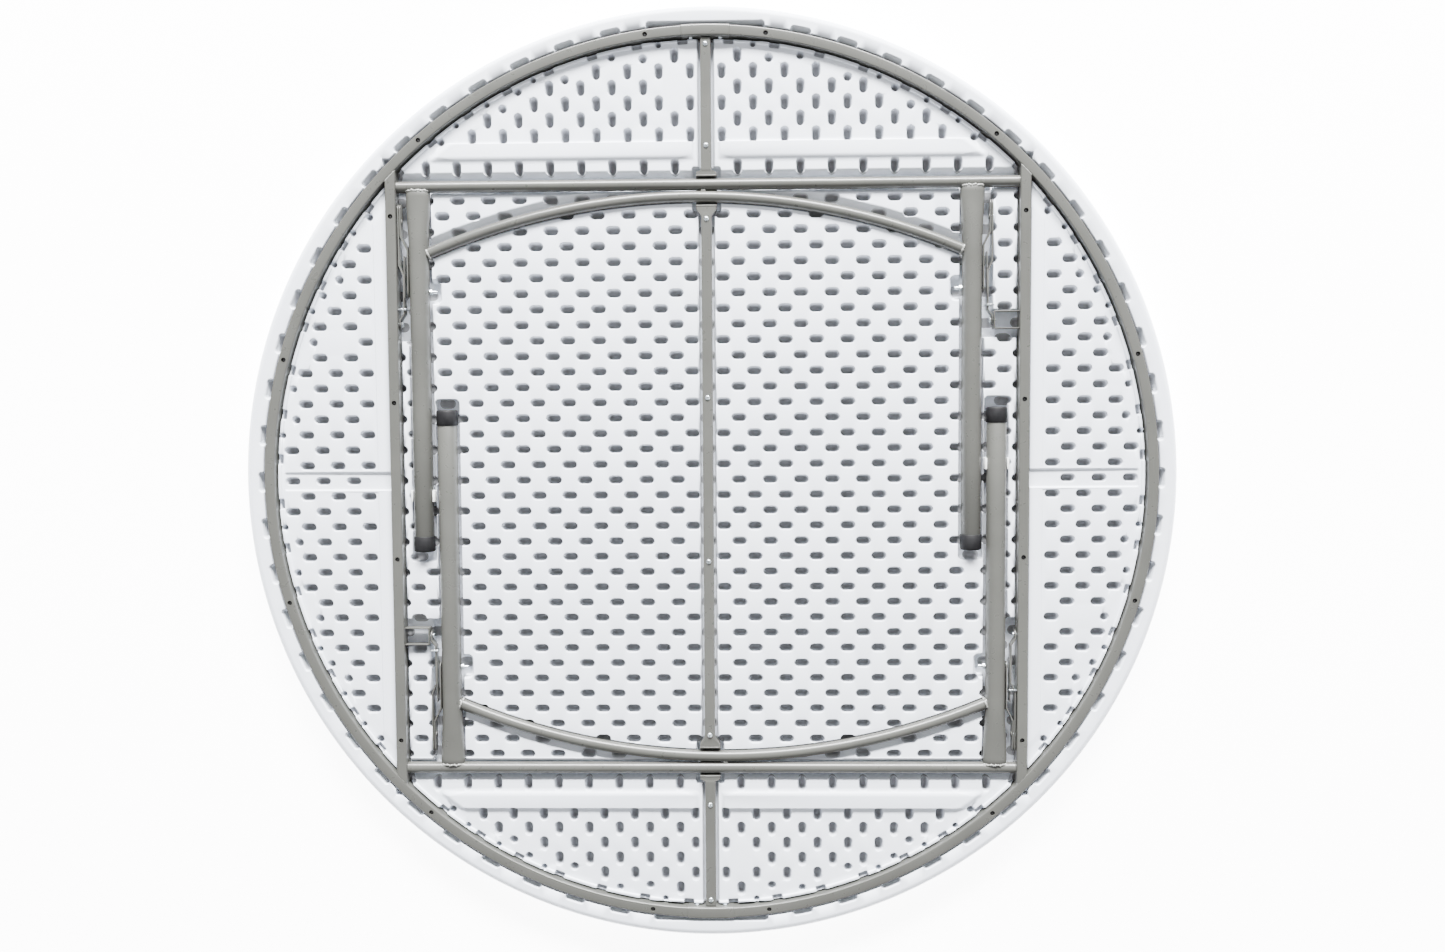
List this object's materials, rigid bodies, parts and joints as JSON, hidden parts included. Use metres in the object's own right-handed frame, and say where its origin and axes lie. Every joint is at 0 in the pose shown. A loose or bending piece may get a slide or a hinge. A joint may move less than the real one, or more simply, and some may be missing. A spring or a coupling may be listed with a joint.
{
  "type": "folding table",
  "caption": "Round folding table with a moulded white top and two folding steel leg frames, stored face down with its legs folded flat.",
  "frame": {"origin": "middle of the table top's flat face, with the table lying face down and its legs folded", "axes": "+Z out of the underside, X along the two pivot tubes, Y along the centre beam"},
  "size_m": [1.8, 1.8, 0.0565],
  "materials": {
    "panel": "satin, lightly textured",
    "frame": "satin powder coat",
    "zinc": "bright zinc plate",
    "foot": "matt moulded",
    "clip": "semi-gloss"
  },
  "bodies": {
    "top": {"tabletop_panel": "panel", "ring_half_left": "frame", "ring_half_right": "frame", "ring_sleeve_a": "frame", "ring_sleeve_b": "frame", "side_rail_left": "frame", "side_rail_right": "frame", "centre_beam_a": "frame", "centre_beam_middle": "frame", "centre_beam_b": "frame", "pivot_saddle_a": "frame", "pivot_saddle_b": "frame", "brace_bracket_a": "frame", "brace_bracket_b": "frame", "leg_clip_a": "clip", "leg_clip_b": "clip", "anchor_pin_a_left": "zinc", "anchor_pin_a_right": "zinc", "anchor_pin_b_right": "zinc", "anchor_pin_b_left": "zinc"},
    "leg_frame_a": {"pivot_tube_a": "frame", "leg_a_outer": "frame", "leg_a_inner": "frame", "arch_tube_a": "frame", "foot_cap_a_outer": "foot", "foot_cap_a_inner": "foot", "leg_bolt_a_left": "zinc", "leg_nut_a_left": "zinc", "leg_bolt_a_right": "zinc", "leg_nut_a_right": "zinc"},
    "leg_frame_b": {"pivot_tube_b": "frame", "leg_b_outer": "frame", "leg_b_inner": "frame", "arch_tube_b": "frame", "foot_cap_b_outer": "foot", "foot_cap_b_inner": "foot", "leg_bolt_b_right": "zinc", "leg_nut_b_right": "zinc", "leg_bolt_b_left": "zinc", "leg_nut_b_left": "zinc"},
    "anchor_link_a_left": {"anchor_link_a_left": "frame", "knee_rivet_a_left": "zinc"},
    "leg_link_a_left": {"leg_link_a_left": "frame"},
    "lock_ring_a_left": {"lock_ring_a_left": "zinc"},
    "anchor_link_a_right": {"anchor_link_a_right": "frame", "knee_rivet_a_right": "zinc"},
    "leg_link_a_right": {"leg_link_a_right": "frame"},
    "lock_ring_a_right": {"lock_ring_a_right": "zinc"},
    "anchor_link_b_right": {"anchor_link_b_right": "frame", "knee_rivet_b_right": "zinc"},
    "leg_link_b_right": {"leg_link_b_right": "frame"},
    "lock_ring_b_right": {"lock_ring_b_right": "zinc"},
    "anchor_link_b_left": {"anchor_link_b_left": "frame", "knee_rivet_b_left": "zinc"},
    "leg_link_b_left": {"leg_link_b_left": "frame"},
    "lock_ring_b_left": {"lock_ring_b_left": "zinc"}
  },
  "joints": [
    {"name": "leg_fold_a", "type": "hinge", "parent": "top", "child": "leg_frame_a", "pos_m": [0, 0.566, 0.036], "axis": [-1, 0, 0], "range_deg": [0, 90]},
    {"name": "leg_fold_b", "type": "hinge", "parent": "top", "child": "leg_frame_b", "pos_m": [0, -0.566, 0.036], "axis": [1, 0, 0], "range_deg": [0, 90]},
    {"name": "anchor_pivot_a_left", "type": "hinge", "parent": "top", "child": "anchor_link_a_left", "pos_m": [-0.5745, 0.304, 0.036], "axis": [1, 0, 0], "range_deg": [0, 37.48]},
    {"name": "leg_pivot_a_left", "type": "hinge", "parent": "leg_frame_a", "child": "leg_link_a_left", "pos_m": [-0.5745, 0.3655, 0.036], "axis": [-1, 0, 0], "range_deg": [0, 52.62]},
    {"name": "lock_slide_a_left", "type": "slide", "parent": "anchor_link_a_left", "child": "lock_ring_a_left", "axis": [0, 1, 0], "range_m": [-0.0045, 0.105]},
    {"name": "anchor_pivot_a_right", "type": "hinge", "parent": "top", "child": "anchor_link_a_right", "pos_m": [0.526, 0.304, 0.036], "axis": [1, 0, 0], "range_deg": [0, 37.48]},
    {"name": "leg_pivot_a_right", "type": "hinge", "parent": "leg_frame_a", "child": "leg_link_a_right", "pos_m": [0.526, 0.3655, 0.036], "axis": [-1, 0, 0], "range_deg": [0, 52.62]},
    {"name": "lock_slide_a_right", "type": "slide", "parent": "anchor_link_a_right", "child": "lock_ring_a_right", "axis": [0, 1, 0], "range_m": [-0.0045, 0.105]},
    {"name": "anchor_pivot_b_right", "type": "hinge", "parent": "top", "child": "anchor_link_b_right", "pos_m": [0.5745, -0.304, 0.036], "axis": [-1, 0, 0], "range_deg": [0, 37.48]},
    {"name": "leg_pivot_b_right", "type": "hinge", "parent": "leg_frame_b", "child": "leg_link_b_right", "pos_m": [0.5745, -0.3655, 0.036], "axis": [1, 0, 0], "range_deg": [0, 52.62]},
    {"name": "lock_slide_b_right", "type": "slide", "parent": "anchor_link_b_right", "child": "lock_ring_b_right", "axis": [0, -1, 0], "range_m": [-0.0835, 0.026]},
    {"name": "anchor_pivot_b_left", "type": "hinge", "parent": "top", "child": "anchor_link_b_left", "pos_m": [-0.526, -0.304, 0.036], "axis": [-1, 0, 0], "range_deg": [0, 37.48]},
    {"name": "leg_pivot_b_left", "type": "hinge", "parent": "leg_frame_b", "child": "leg_link_b_left", "pos_m": [-0.526, -0.3655, 0.036], "axis": [1, 0, 0], "range_deg": [0, 52.62]},
    {"name": "lock_slide_b_left", "type": "slide", "parent": "anchor_link_b_left", "child": "lock_ring_b_left", "axis": [0, -1, 0], "range_m": [-0.0045, 0.105]}
  ],
  "couplings": [
    {"joint": "anchor_pivot_a_left", "follows": "leg_fold_a", "ratio": 0.41584},
    {"joint": "leg_pivot_a_left", "follows": "leg_fold_a", "ratio": 0.58416},
    {"joint": "anchor_pivot_a_right", "follows": "leg_fold_a", "ratio": 0.41584},
    {"joint": "leg_pivot_a_right", "follows": "leg_fold_a", "ratio": 0.58416},
    {"joint": "anchor_pivot_b_right", "follows": "leg_fold_b", "ratio": 0.41584},
    {"joint": "leg_pivot_b_right", "follows": "leg_fold_b", "ratio": 0.58416},
    {"joint": "anchor_pivot_b_left", "follows": "leg_fold_b", "ratio": 0.41584},
    {"joint": "leg_pivot_b_left", "follows": "leg_fold_b", "ratio": 0.58416}
  ]
}
